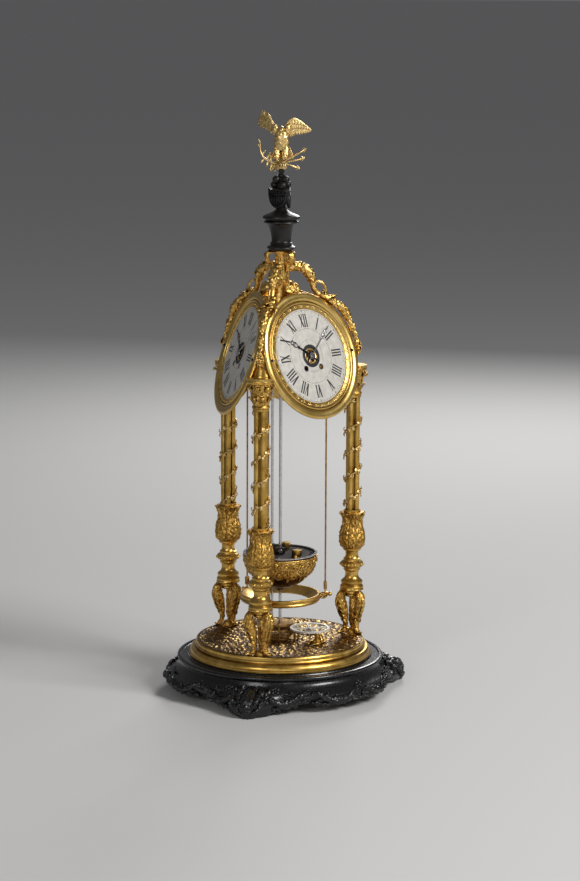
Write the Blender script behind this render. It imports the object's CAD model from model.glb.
import math
import random

import bpy
from mathutils import Matrix, Vector, noise


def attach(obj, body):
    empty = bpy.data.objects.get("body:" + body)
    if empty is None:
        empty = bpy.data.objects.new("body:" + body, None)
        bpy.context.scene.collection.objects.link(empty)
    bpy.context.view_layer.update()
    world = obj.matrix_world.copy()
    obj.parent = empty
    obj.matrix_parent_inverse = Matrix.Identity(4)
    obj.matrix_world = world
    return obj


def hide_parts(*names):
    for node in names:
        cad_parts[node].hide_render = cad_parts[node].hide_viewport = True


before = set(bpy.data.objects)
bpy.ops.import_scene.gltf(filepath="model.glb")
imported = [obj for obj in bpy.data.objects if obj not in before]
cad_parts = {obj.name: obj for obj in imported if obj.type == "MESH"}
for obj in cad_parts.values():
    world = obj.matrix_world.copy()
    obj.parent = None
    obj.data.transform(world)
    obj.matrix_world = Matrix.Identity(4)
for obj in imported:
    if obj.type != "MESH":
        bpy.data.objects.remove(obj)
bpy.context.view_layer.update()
print("frame loaded:", len(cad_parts), "nodes")

# lengths below are in millimetres; settle() brings each finished piece to metres
clock = {
    "dialR": 57.3, "dialZ": 444.0, "tilt": 18.0, "columnR": 97.6, "plateTop": 65.5, "balusterZ": 124.0,
    "tubeZ": 229.0, "capitalZ": 384.0, "stemZ": 574.0, "pedestalTop": 630.0, "perchZ": 677.0,
}
thirds = (1, 2, 3)  # dials, columns and corners are numbered so, all alike


def turnZ(degrees):
    return Matrix.Rotation(math.radians(degrees), 4, "Z")


def turnX(degrees):
    return Matrix.Rotation(math.radians(degrees), 4, "X")


def turnY(degrees):
    return Matrix.Rotation(math.radians(degrees), 4, "Y")


def shift(x, y, z):
    return Matrix.Translation((x, y, z))


def atDial(n):  # +Z out of the dial, +Y up it
    return turnZ(120 * (n - 1)) @ shift(0, -clock["dialR"], clock["dialZ"]) @ turnX(90 - clock["tilt"])


def atColumn(n, z=0):  # -Y outwards
    return turnZ(60 + 120 * (n - 1)) @ shift(0, -clock["columnR"], z)


def atCorner(n, z=0):  # as atColumn, from the clock's axis
    return turnZ(60 + 120 * (n - 1)) @ shift(0, 0, z)


def ringOf(count, start=0):  # turns that set copies evenly round the axis
    return [turnZ(360 / count * k + start) for k in range(count)]


def polar(r, degrees):
    return r * math.cos(math.radians(degrees)), r * math.sin(math.radians(degrees))


# camera, at the place and lens that the photo's ellipses give: angles in degrees, distances in metres
view = {
    "distance": 3.30994, "height": 0.89604, "side": -45.2, "down": 9.754, "aim": 0.21, "roll": 0.231,
    "lens": 106.04, "film": 36, "farthest": 2000,
}


def setCamera():
    aim, down, roll = (math.radians(view[angle]) for angle in ("aim", "down", "roll"))
    right = Vector((math.cos(aim), -math.sin(aim), 0))
    ahead = Vector((math.sin(aim), math.cos(aim), 0))
    upward = Vector((0, 0, 1))
    forward = ahead * math.cos(down) - upward * math.sin(down)
    up = upward * math.cos(down) + ahead * math.sin(down)
    right, up = right * math.cos(roll) + up * math.sin(roll), up * math.cos(roll) - right * math.sin(roll)
    place = Matrix((right, up, -forward)).transposed().to_4x4()
    place.translation = Vector((0, -view["distance"], view["height"]))
    bpy.ops.object.camera_add()
    camera = bpy.context.object
    camera.name = "photoCamera"
    camera.matrix_world = turnZ(view["side"]) @ place
    camera.data.lens = view["lens"]
    camera.data.sensor_width = view["film"]
    camera.data.clip_end = view["farthest"]
    bpy.context.scene.camera = camera


setCamera()
print("camera set")

# studio: wide pale floor, quiet grey surroundings, soft round lamps that all face the middle of the clock
studio = {
    "floorSize": 700, "floorColour": (0.66, 0.655, 0.64), "floorRough": 0.8, "floorGloss": 0.2,
    "around": (0.13, 0.13, 0.137), "aroundStrength": 1.0, "middle": 0.38,
    "lamps": [  # name, place, size, power
        ("keyLamp", (0.5, -2.7, 2.2), 1.3, 84),
        ("sideLamp", (-2.9, -0.9, 1.3), 0.9, 15),
        ("backLamp", (2.2, 1.3, 1.6), 1.0, 30),
        ("lowLamp", (-2.0, -2.7, 0.6), 0.7, 6),
    ],
}


def buildStudio():
    bpy.ops.mesh.primitive_plane_add(size=studio["floorSize"], location=(0, 0, 0))
    floor = bpy.context.object
    floor.name = "studioFloor"
    paper = bpy.data.materials.new("floorPaper")
    paper.use_nodes = True
    shader = paper.node_tree.nodes["Principled BSDF"]
    shader.inputs["Base Color"].default_value = (*studio["floorColour"], 1)
    shader.inputs["Roughness"].default_value = studio["floorRough"]
    shader.inputs["Specular IOR Level"].default_value = studio["floorGloss"]
    floor.data.materials.append(paper)
    world = bpy.data.worlds.new("studioAir")
    bpy.context.scene.world = world
    world.use_nodes = True
    air = world.node_tree.nodes["Background"]
    air.inputs["Color"].default_value = (*studio["around"], 1)
    air.inputs["Strength"].default_value = studio["aroundStrength"]
    for name, place, size, power in studio["lamps"]:
        bpy.ops.object.light_add(type="AREA", location=place)
        lamp = bpy.context.object
        lamp.name = name
        lamp.data.shape = "DISK"
        lamp.data.size = size
        lamp.data.energy = power
        aim = Vector((0, 0, studio["middle"])) - Vector(place)
        lamp.rotation_euler = aim.to_track_quat("-Z", "Y").to_euler()


buildStudio()
bpy.context.scene.view_settings.view_transform = "Standard"
print("studio built")


# finishes: a cloud of noise on object coordinates mixes the dark and the bright tone and sets the roughness;
# recess is the dirt in the hollows of a casting, ground the heights (metres) over which that dirt gives way to gilt
def finish(name, dark, bright, rough, metallic=1.0, grain=260, spread=(0.3, 0.7), dents=0.1, dentSize=700,
           recess=None, hollowDepth=0.003, coat=0.0, ground=None, gloss=0.5):
    made = bpy.data.materials.new(name)
    made.use_nodes = True
    nodes, links = made.node_tree.nodes, made.node_tree.links
    shader = nodes["Principled BSDF"]

    def add(kind, **values):
        node = nodes.new(f"ShaderNode{kind}")
        for socket, value in values.items():
            node.inputs[socket.replace("_", " ")].default_value = value
        return node

    def overRecess(share, colour):
        mix = add("Mix")
        mix.data_type = "RGBA"
        mix.inputs["A"].default_value = (*recess, 1)
        links.new(share, mix.inputs["Factor"])
        links.new(colour, mix.inputs["B"])
        return mix.outputs["Result"]

    shader.inputs["Metallic"].default_value = metallic
    shader.inputs["Coat Weight"].default_value = coat
    shader.inputs["Specular IOR Level"].default_value = gloss
    place = add("TexCoord")
    cloud = add("TexNoise", Scale=grain, Detail=6)
    links.new(place.outputs["Object"], cloud.inputs["Vector"])
    tone = add("ValToRGB")
    for stop, position, colour in zip(tone.color_ramp.elements, spread, (dark, bright)):
        stop.position = position
        stop.color = (*colour, 1)
    links.new(cloud.outputs["Fac"], tone.inputs["Fac"])
    colour = tone.outputs["Color"]
    if recess:
        hollow = add("AmbientOcclusion", Distance=hollowDepth)
        hollow.samples = 4
        hollow.only_local = True
        clean = add("MapRange", From_Min=0.3, From_Max=0.8)
        links.new(hollow.outputs["AO"], clean.inputs["Value"])
        colour = overRecess(clean.outputs["Result"], colour)
    if ground:
        height = add("SeparateXYZ")
        links.new(place.outputs["Object"], height.inputs["Vector"])
        level = add("MapRange", From_Min=ground[0], From_Max=ground[1])
        links.new(height.outputs["Z"], level.inputs["Value"])
        colour = overRecess(level.outputs["Result"], colour)
    links.new(colour, shader.inputs["Base Color"])
    wear = add("MapRange", To_Min=rough[0], To_Max=rough[1])
    links.new(cloud.outputs["Fac"], wear.inputs["Value"])
    links.new(wear.outputs["Result"], shader.inputs["Roughness"])
    fine = add("TexNoise", Scale=dentSize, Detail=4)
    links.new(place.outputs["Object"], fine.inputs["Vector"])
    bump = add("Bump", Strength=dents, Distance=0.0006)
    links.new(fine.outputs["Fac"], bump.inputs["Height"])
    links.new(bump.outputs["Normal"], shader.inputs["Normal"])
    return made


giltCasting = finish("giltCasting", (0.42, 0.22, 0.035), (0.93, 0.62, 0.19), (0.22, 0.42), spread=(0.32, 0.62),
                     dents=0.5, dentSize=900, recess=(0.075, 0.03, 0.006))
giltChased = finish("giltChased", (0.24, 0.115, 0.018), (0.72, 0.43, 0.1), (0.26, 0.46), grain=420,
                    spread=(0.34, 0.62), dents=0.7, dentSize=1100, recess=(0.05, 0.018, 0.004), hollowDepth=0.0026)
giltLegs = finish("giltLegs", (0.32, 0.16, 0.025), (0.82, 0.51, 0.13), (0.24, 0.42), grain=240, spread=(0.32, 0.62),
                  dents=0.5, dentSize=900, recess=(0.06, 0.022, 0.005))
giltTurned = finish("giltTurned", (0.45, 0.26, 0.045), (0.82, 0.53, 0.15), (0.25, 0.38), grain=70, dentSize=1400,
                    recess=(0.09, 0.04, 0.01))
giltTubes = finish("giltTubes", (0.4, 0.22, 0.035), (0.8, 0.52, 0.14), (0.22, 0.36), grain=50, dentSize=1400,
                   recess=(0.05, 0.02, 0.004), hollowDepth=0.009)
giltSatin = finish("giltSatin", (0.6, 0.39, 0.1), (0.8, 0.56, 0.19), (0.26, 0.38), grain=60, dents=0.08,
                   dentSize=1800, recess=(0.12, 0.06, 0.015), hollowDepth=0.002)
giltEngraved = finish("giltEngraved", (0.6, 0.38, 0.11), (0.95, 0.72, 0.3), (0.2, 0.36), grain=700,
                      spread=(0.35, 0.6), dents=0.4, dentSize=1600)
plateEngraved = finish("plateEngraved", (0.34, 0.18, 0.03), (0.86, 0.57, 0.16), (0.28, 0.42), grain=50,
                       spread=(0.36, 0.64), dents=0.3, dentSize=1500, recess=(0.075, 0.034, 0.006),
                       hollowDepth=0.002, ground=(0.0658, 0.0665))
giltPale = finish("giltPale", (0.55, 0.35, 0.11), (0.92, 0.68, 0.3), (0.26, 0.44), grain=320, spread=(0.3, 0.6),
                  dents=0.35, dentSize=1200, recess=(0.14, 0.06, 0.014), hollowDepth=0.0025)
giltDull = finish("giltDull", (0.2, 0.1, 0.03), (0.55, 0.34, 0.1), (0.4, 0.6), grain=150, dents=0.3, dentSize=900)
silvered = finish("silvered", (0.7, 0.665, 0.59), (0.83, 0.8, 0.73), (0.32, 0.44), metallic=0.55, grain=160,
                  dents=0.08, dentSize=2600)
inkBlack = finish("inkBlack", (0.008, 0.008, 0.01), (0.02, 0.02, 0.024), (0.35, 0.5), metallic=0.0, grain=900)
bluedSteel = finish("bluedSteel", (0.01, 0.012, 0.02), (0.035, 0.04, 0.06), (0.22, 0.35), metallic=0.9, grain=500)
polishedSteel = finish("polishedSteel", (0.5, 0.5, 0.51), (0.68, 0.68, 0.69), (0.16, 0.28), grain=240, dents=0.05)
wheelBrass = finish("wheelBrass", (0.5, 0.32, 0.1), (0.78, 0.55, 0.22), (0.25, 0.4), grain=300)
japannedIron = finish("japannedIron", (0.003, 0.003, 0.0035), (0.009, 0.009, 0.01), (0.2, 0.36), metallic=0.0,
                      dents=0.3, dentSize=600, coat=0.25, gloss=0.4)
ebonised = finish("ebonised", (0.004, 0.0035, 0.0035), (0.013, 0.011, 0.01), (0.3, 0.46), metallic=0.0, grain=160,
                  dents=0.12, dentSize=900, gloss=0.35)
darkBronze = finish("darkBronze", (0.025, 0.006, 0.002), (0.1, 0.03, 0.012), (0.2, 0.36), metallic=0.9, grain=120,
                    dents=0.2)
lidSteel = finish("lidSteel", (0.008, 0.005, 0.004), (0.022, 0.012, 0.008), (0.55, 0.75), metallic=0.0, grain=200,
                  gloss=0.12)
print("finishes mixed")


def each(name):  # the three nodes of a name
    return [f"{name}_{n}" for n in thirds]


cadFinish = [
    (japannedIron, ["plinth"]),
    (ebonised, ["finial_pedestal", "finial_trophy"]),
    (giltSatin, ["case_floor"]),
    (giltTurned, ["base_plate", "case_shell", *each("bezel"), "column_nuts", "catch_ring"]),
    (giltCasting, [*each("column_foot"), *each("column_baluster"), *each("column_capital")]),
    (giltCasting, ["column_vines", "crest_corners", "crest_stem", "eagle", "balance_cock"]),
    (giltTubes, each("column_shaft")),
    (bluedSteel, ["base_screws", "bezel_screws", *each("minute_hand"), *each("hour_hand")]),
    (silvered, [*each("dial"), "balance_wheel"]),
    (giltDull, ["dial_pans", "movement_frame", "ring_rods"]),
    (wheelBrass, [*each("hour_wheel"), *each("minute_wheel"), "shaft_wheels", "escape_wheel", "weight_clamp"]),
    (polishedSteel, [*each("minute_arbor"), "drive_shaft", "guide_rod", "lever"]),
    (darkBronze, ["weight_bowl"]),
    (lidSteel, ["weight_lid"]),
]
for paint, names in cadFinish:
    for name in names:
        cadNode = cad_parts[name]
        cadNode.data.materials.clear()
        cadNode.data.materials.append(paint)
print("CAD nodes painted")


def deselect():
    if bpy.context.mode != "OBJECT":
        bpy.ops.object.mode_set(mode="OBJECT")
    bpy.ops.object.select_all(action="DESELECT")


def pick(piece):
    deselect()
    piece.select_set(True)
    bpy.context.view_layer.objects.active = piece


def applied(piece, kind, **settings):
    pick(piece)
    tool = piece.modifiers.new(kind.lower(), kind)
    for key, value in settings.items():
        setattr(tool, key, value)
    bpy.ops.object.modifier_apply(modifier=tool.name)
    return piece


def smoothed(piece):
    pick(piece)
    bpy.ops.object.shade_smooth()
    return piece


def welded(piece, gap=0.01, outwards=True):  # doubled points merged, faces turned outwards
    pick(piece)
    bpy.ops.object.mode_set(mode="EDIT")
    bpy.ops.mesh.select_all(action="SELECT")
    bpy.ops.mesh.remove_doubles(threshold=gap)
    if outwards:
        bpy.ops.mesh.normals_make_consistent(inside=False)
    bpy.ops.object.mode_set(mode="OBJECT")
    return piece


def joined(pieces):
    pick(pieces[0])
    for piece in pieces:
        piece.select_set(True)
    bpy.ops.object.join()
    return bpy.context.object


def twin(piece, place):
    made = piece.copy()
    made.data = piece.data.copy()
    made.data.transform(place)
    bpy.context.collection.objects.link(made)
    return made


def copied(piece, places):
    made = [twin(piece, place) for place in places]
    bpy.data.objects.remove(piece)
    return joined(made)


def moved(piece, place):
    piece.data.transform(place)
    return piece


def settle(piece, name, paint, place=Matrix.Identity(4), body="frame", stands=()):
    piece.data.transform(Matrix.Scale(0.001, 4) @ place)
    piece.name = name
    piece.data.name = name
    piece.data.materials.clear()
    piece.data.materials.append(paint)
    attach(piece, body)
    if stands:
        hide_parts(*stands)
    return piece


def threefold(piece, name, paint, place, stands=None, body="frame"):
    for n in thirds:
        own = twin(piece, Matrix.Identity(4))
        settle(own, f"{name}_{n}", paint, place(n), body.replace("#", str(n)),
               [stands.replace("#", str(n))] if stands else ())
    bpy.data.objects.remove(piece)


def smoothLine(points, each=4):  # a smooth run of points through the ones given
    points = [Vector(p) for p in points]
    line = []
    for i in range(len(points) - 1):
        a, b = points[max(i - 1, 0)], points[i]
        c, d = points[i + 1], points[min(i + 2, len(points) - 1)]
        for step in range(each):
            t = step / each
            line.append(0.5 * (2 * b + (c - a) * t + (2 * a - 5 * b + 4 * c - d) * t ** 2
                               + (3 * b - a - 3 * c + d) * t ** 3))
    return line + [points[-1]]


def eased(profile, each):  # the same for a turned profile
    return [(p.x, p.y) for p in smoothLine([(r, z, 0) for r, z in profile], each)]


def pointOn(line, t):
    at = min(max(t, 0), 1) * (len(line) - 1)
    low = min(int(at), len(line) - 2)
    return line[low].lerp(line[low + 1], at - low)


def blendOf(values, t):
    at = min(max(t, 0), 1) * (len(values) - 1)
    low = min(int(at), len(values) - 2)
    part = at - low
    part = part * part * (3 - 2 * part)
    return values[low] * (1 - part) + values[low + 1] * part


def bearings(line, t, across):  # the way along a line, the way across it and the way out of it
    along = (pointOn(line, t + 0.02) - pointOn(line, t - 0.02)).normalized()
    side = (across - along * across.dot(along)).normalized()
    return along, side, side.cross(along)


def turned(profile, steps=96, sharp=32):  # one point extruded along the profile, then spun
    deselect()
    bpy.ops.mesh.primitive_plane_add(size=1)
    piece = bpy.context.object
    bpy.ops.object.mode_set(mode="EDIT")
    bpy.ops.mesh.select_all(action="SELECT")
    bpy.ops.mesh.merge(type="CENTER")
    bpy.ops.transform.translate(value=(profile[0][0], 0, profile[0][1]))
    for (r0, z0), (r1, z1) in zip(profile, profile[1:]):
        bpy.ops.mesh.extrude_region_move(TRANSFORM_OT_translate={"value": (r1 - r0, 0, z1 - z0)})
    bpy.ops.mesh.select_all(action="SELECT")
    bpy.ops.mesh.spin(steps=steps, angle=math.tau, center=(0, 0, 0), axis=(0, 0, 1))
    welded(piece, 0.002)
    bpy.ops.object.shade_smooth_by_angle(angle=math.radians(sharp))
    return piece


def meshOf(shape):  # a curve made a mesh
    piece = bpy.data.objects.new(shape.name, shape)
    bpy.context.collection.objects.link(piece)
    pick(piece)
    bpy.ops.object.convert(target="MESH")
    return bpy.context.object


def swept(path, radii, facets=2):  # round rod along a path, its radius given at some points of the way
    shape = bpy.data.curves.new("rod", "CURVE")
    shape.dimensions = "3D"
    shape.bevel_depth = 1
    shape.bevel_resolution = facets
    shape.use_fill_caps = True
    line = shape.splines.new("POLY")
    line.points.add(len(path) - 1)
    for i, place in enumerate(path):
        line.points[i].co = (*place, 1)
        line.points[i].radius = blendOf(radii, i / (len(path) - 1))
    return smoothed(welded(meshOf(shape), 0.001))


def cutOut(outlines, thick, bevel=0.0):  # flat piece: outer and inner outlines, filled and given a thickness
    shape = bpy.data.curves.new("cut", "CURVE")
    shape.dimensions = "2D"
    shape.fill_mode = "BOTH"
    shape.extrude = thick / 2
    shape.bevel_depth = bevel
    for outline in outlines:
        line = shape.splines.new("POLY")
        line.points.add(len(outline) - 1)
        for point, place in zip(line.points, outline):
            point.co = (place[0], place[1], 0, 1)
        line.use_cyclic_u = True
    return welded(meshOf(shape), 0.002)


def circle(r, x=0, y=0, steps=32):
    return [(x + r * math.cos(math.tau * k / steps), y + r * math.sin(math.tau * k / steps)) for k in range(steps)]


def ball(r, place, rings=8):
    deselect()
    bpy.ops.mesh.primitive_uv_sphere_add(segments=rings * 2, ring_count=rings, radius=r, location=place)
    bpy.ops.object.transform_apply(location=True)
    return smoothed(bpy.context.object)


def gridOf(columns, rows):  # grid from -1 to 1, to be shaped point by point
    deselect()
    bpy.ops.mesh.primitive_grid_add(x_subdivisions=columns, y_subdivisions=rows, size=2)
    return bpy.context.object


# cast leaf along a spine: lobed edges, sunk midrib, hollowed between the lobes
def leaf(spine, widths, across=(1, 0, 0), lobes=5, notch=0.55, cup=0.3, sweep=0.7, thick=1.1, columns=8, rows=5,
         rib=0.16):
    line = smoothLine(spine, 6)
    across = Vector(across)
    piece = gridOf(columns, lobes * rows)
    for vert in piece.data.vertices:
        v, t = vert.co.x, (vert.co.y + 1) / 2
        along, side, out = bearings(line, t, across)
        phase = (t * lobes) % 1 if t < 1 else 1
        gap = (1 - phase) ** 3 + max(0, phase - 0.85) * 4
        wide = blendOf(widths, t)
        reach = wide * (1 - notch * gap)
        forward = sweep * wide * abs(v) ** 1.6 * (0.35 + 0.65 * phase)
        rise = (cup * wide * (1 - v * v) - 0.22 * wide * gap * abs(v)
                - rib * wide * max(0, 1 - abs(v) * columns / 2.4))
        vert.co = pointOn(line, t) + side * v * reach + along * forward * (1 - t * t) + out * rise
    return smoothed(applied(piece, "SOLIDIFY", thickness=thick, offset=-1))


def lobed(place, size):  # height of cast relief: small lobes with creases between them
    near = noise.voronoi(place / size)[0]
    return min(1.0, (near[1] - near[0]) * 1.9)


def scrolled(place, size, arms=2, wind=9.0):  # height of chased scrolls: a spiral in each patch of the ground
    near, middles = noise.voronoi(place / size)
    away = place / size - middles[0]
    curl = 0.5 + 0.5 * math.cos(arms * math.atan2(away.y, away.x) + wind * away.length)
    return curl * min(1.0, (near[1] - near[0]) * 3.5)


def acanthus(u, t, lobes):  # height of one leaf: u from edge to edge, t from root to tip
    wide = 0.96 * math.sin(math.pi * min(1, 0.12 + 0.86 * t)) ** 0.5 * (1 + 0.13 * math.sin(math.tau * lobes * t))
    inside = max(0.0, 1 - (abs(u) / max(wide, 0.01)) ** 2)
    veins = 0.17 * math.cos(math.tau * (lobes * 1.6 * t - 1.3 * abs(u)))
    return inside ** 0.5 * (0.9 + veins) - 0.45 * math.exp(-(u / 0.09) ** 2) * (inside > 0)


# cast mass along a path, its half width and half depth given at some points, lobed all over
def carved(path, wide, deep=None, across=(1, 0, 0), size=3.4, relief=1.2, around=20, step=1.1):
    deep = deep or wide
    line = smoothLine(path, 6)
    length = sum((b - a).length for a, b in zip(line, line[1:]))
    rows = max(8, round(length / step))
    across = Vector(across)
    piece = gridOf(around, rows)
    for vert in piece.data.vertices:
        turn, t = math.pi * vert.co.x, (vert.co.y + 1) / 2
        along, side, out = bearings(line, t, across)
        close = math.sqrt(max(0.0, 1 - (1 - min(1.0, min(t, 1 - t) * rows / 2.6)) ** 2))  # rounds the ends
        w, d = blendOf(wide, t) * close, blendOf(deep, t) * close
        push = (side * math.cos(turn) * d + out * math.sin(turn) * w).normalized() if close else along
        spot = pointOn(line, t) + side * w * math.cos(turn) + out * d * math.sin(turn)
        flow = Vector((w * math.cos(turn), d * math.sin(turn),
                       (t * length - 0.8 * abs(w * math.cos(turn))) * 0.6 + path[0][2]))
        vert.co = spot + push * relief * close * (lobed(flow, size) - 0.62)
    return smoothed(welded(piece))


# leaves and lobes chased into a turned piece, between two heights
def chase(piece, low, high, height, size, leaves, lobes, grain, taper=12):
    for vert in piece.data.vertices:
        x, y, z = vert.co
        r = math.hypot(x, y)
        if low < z < high and r > 1:
            t = (z - low) / (high - low)
            deep = grain * (lobed(Vector((x, y, z * 0.6)), size) - 0.6)
            u = (math.atan2(y, x) / math.tau * leaves) % 1 * 2 - 1
            other = ((u + 2) % 2) - 1  # a lower row of leaves stands between those of the upper
            deep += max(acanthus(u, t, lobes), acanthus(other, t * 1.5, lobes) if t < 0.66 else 0) * 0.8 - 0.3
            share = 1 + height * deep * min(1, min(t, 1 - t) * taper) / r
            vert.co = (x * share, y * share, z)


# plinth casting: one section carried round, its reach and lower edge swelling at the feet
plinth = {"rim": 134.0, "foot": 166.4, "side": 149.6, "top": 46.0, "wall": 6.0, "around": 360, "padReach": 157,
          "pad": [(0, 0), (11.4, 0), (12, 0.8), (12, 9), (0, 9)]}


def fromFoot(a):
    return abs(a % 120 - 60)


def skirtReach(a):
    f = fromFoot(a)
    side = math.sin(math.radians(1.5 * f)) ** 2
    base = plinth["rim"] + 3
    return base + (plinth["side"] - base) * side + (plinth["foot"] - base) * math.exp(-(f / 12) ** 2)


def skirtHem(a):
    f = fromFoot(a)
    return max(1, (16 + 3 * math.cos(math.radians(9 * f))) * (1 - 1.35 * math.exp(-(f * 0.8 / 12) ** 2)))


def skirtOuter(a):  # section from the top rim down to the hem
    r, low, rim, h = skirtReach(a), skirtHem(a), plinth["rim"], plinth["top"]
    drop = h - 19 - low
    return [(rim - 1.2, h - 0.2), (rim, h - 1.2), (rim + 0.5, h - 2.6), (rim, h - 4.2), (rim - 2.6, h - 5.6),
            (rim - 3.9, h - 7.4), (rim - 3.4, h - 9.6), (rim - 1.8, h - 13), (rim + (r - rim) * 0.24, h - 16.2),
            (rim + (r - rim) * 0.55, h - 19), (rim + (r - rim) * 0.84, low + drop * 0.82), (r, low + drop * 0.55),
            (r - 0.2, low + drop * 0.3), (r - 1.4, low + 1.6), (r - 2.4, low)]


def skirtInner(a):  # on from the hem, up the inside and over the top to the rim
    r, low, rim, h, wall = skirtReach(a), skirtHem(a), plinth["rim"], plinth["top"], plinth["wall"]
    return [(r - 2 - wall, low), (r - wall, low + (h - 19 - low) * 0.5), (rim - wall + (r - rim) * 0.45, h - 22),
            (rim - 6 - wall, h - 16), (rim - 6 - wall, h - 6), (rim - 40, h - 6), (rim - 40, h - 0.4),
            (rim - 14.6, h - 0.4), (rim - 13.8, h - 1.7), (rim - 5.2, h - 1.7), (rim - 4, h - 0.2)]


def skirtPoint(a, z, proud):
    outer = skirtOuter(a)
    for (r0, z0), (r1, z1) in zip(outer[3:], outer[4:]):
        if z1 <= z <= z0:
            r = r0 + (r1 - r0) * (z0 - z) / max(z0 - z1, 0.001)
            break
    else:
        r = outer[-1][0]
    turn = math.radians(a)
    return Vector(((r + proud) * math.sin(turn), -(r + proud) * math.cos(turn), z))


def buildPlinth():
    points = len(skirtOuter(0)) + len(skirtInner(0))
    casting = gridOf(plinth["around"], points)
    for vert in casting.data.vertices:
        a = (vert.co.x + 1) * 180
        k = round((vert.co.y + 1) / 2 * points) % points
        r, z = (skirtOuter(a) + skirtInner(a))[k]
        vert.co = Vector((r * math.sin(math.radians(a)), -r * math.cos(math.radians(a)), z))
    welded(casting)
    bpy.ops.object.shade_smooth_by_angle(angle=math.radians(40))
    pads = copied(turned(plinth["pad"], 32), [atCorner(n) @ shift(0, -plinth["padReach"], 0) for n in thirds])
    settle(joined([casting, pads]), "plinth_casting", japannedIron, stands=["plinth"])


# relief of the skirt: runs are degrees from the foot and height, then the half width along them
garland = {
    "casting": {"size": 4.2, "relief": 2.7, "around": 22, "step": 1.1}, "upwards": (0, 0, 1),
    "masses": [
        # scrolls that frame the foot, and the heavy garland that leaves it
        ([(9.5, 31), (8, 24), (6.4, 16), (4.2, 9), (1.4, 4.6)], [3.7, 4.5, 4.8, 4.8, 3.4]),
        ([(3.6, 33.5), (5.4, 29), (4.6, 22), (2.8, 15), (0.6, 11)], [2.3, 3.7, 3.7, 3.4, 2.0]),
        ([(9, 24), (12.5, 17.5), (16.5, 14), (20.5, 16), (23.5, 21), (27, 25.5), (30.5, 27)],
         [3.7, 5.4, 6.2, 6.0, 5.1, 4.5, 3.4]),
        ([(31, 27), (35, 24.6), (38, 20), (42, 16.4), (47, 16.4), (52, 19.6), (57, 25.4)],
         [2.8, 4.5, 5.1, 5.7, 5.7, 5.1, 3.7]),
        ([(40.5, 26.6), (38.4, 22.4), (36.4, 17), (35.6, 12.4)], [2.0, 3.4, 3.1, 1.3]),
        ([(15, 27.6), (17.6, 25.4), (20.4, 25.2), (21.4, 28), (19.4, 30)], [1.7, 2.7, 2.8, 2.4, 1.4]),
        # lower edge: a run of leaves under the garland
        ([(11, 9.4), (15, 10.6), (19, 12.2), (24, 14.6), (30, 14.8)], [2.8, 3.7, 3.4, 3.1, 2.0]),
        ([(31, 13.6), (36, 12.6), (41, 12.2), (46, 13), (52, 15), (60, 14.6)], [1.7, 2.8, 2.6, 2.8, 2.4, 2.6]),
    ],
    # place, reach up or down and half width of the leaves that leave it
    "leaves": [(14, 9, -5.5, 2.2), (22.5, 12.4, -4.6, 2.0), (27, 24, 5.6, 1.9), (43, 18.6, 6, 2.0),
               (50, 17, -4.4, 1.8)],
    "rosettes": [(12.4, 29.4, 1.6, 6.2, 6), (31, 28.4, 0.6, 4.6, 5)],  # place, proud, size, petals
    "box": (151.2, -153.7, 171.7),  # x, lowest y, highest y that the relief may reach
}


def onSkirt(run, side=1, proud=0.8):
    return [skirtPoint(60 + side * a, z, proud) for a, z in run]


def onFoot(a, z, proud, lean=12):  # turned so that +Z points out of the skirt
    return shift(*skirtPoint(60 + a, z, proud)) @ turnZ(60 + a) @ turnX(90 - lean)


def rosette(place, size, petals=6):
    petal = [(0, size * 0.2, size * 0.1), (0, size * 0.55, size * 0.3), (0, size * 0.85, size * 0.22), (0, size, 0)]
    blade = carved(petal, [size * share for share in (0.12, 0.26, 0.28, 0.1)],
                   [size * share for share in (0.1, 0.16, 0.14, 0.08)],
                   size=size * 0.5, relief=size * 0.05, around=10, step=size * 0.12)
    return moved(joined([copied(blade, ringOf(petals)), ball(size * 0.3, (0, 0, size * 0.2), 6)]), place)


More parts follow.
